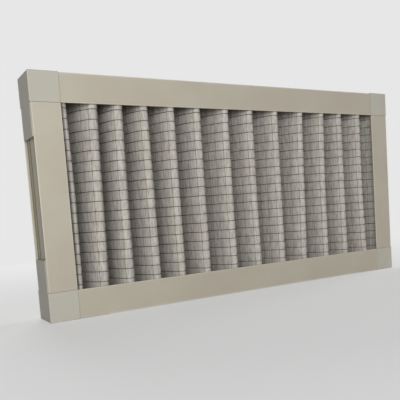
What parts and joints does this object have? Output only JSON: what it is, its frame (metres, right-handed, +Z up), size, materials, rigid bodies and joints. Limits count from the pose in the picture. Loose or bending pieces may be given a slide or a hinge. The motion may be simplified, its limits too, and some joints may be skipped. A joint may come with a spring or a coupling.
{
  "type": "pleated panel air filter",
  "caption": "Rectangular panel air filter: pleated fibre media behind a welded wire mesh, held in an extruded frame with moulded corner pieces.",
  "frame": {"origin": "middle of the panel's underside, where it stands on its lower long edge", "axes": "+X along the long side, the mesh side faces -Y, +Z up"},
  "size_m": [0.595, 0.048, 0.295],
  "materials": {
    "frame_profile": "satin anodised, warm light grey",
    "corner_plastic": "fine moulded, light grey",
    "filter_media": "off-white fibre felt",
    "mesh_wire": "dull galvanised wire"
  },
  "bodies": {
    "root": {"top_profile": "frame_profile", "bottom_profile": "frame_profile", "left_profile": "frame_profile", "right_profile": "frame_profile", "corner_top_left": "corner_plastic", "corner_top_right": "corner_plastic", "corner_bottom_left": "corner_plastic", "corner_bottom_right": "corner_plastic", "pleated_media": "filter_media", "wire_mesh": "mesh_wire"}
  },
  "joints": []
}
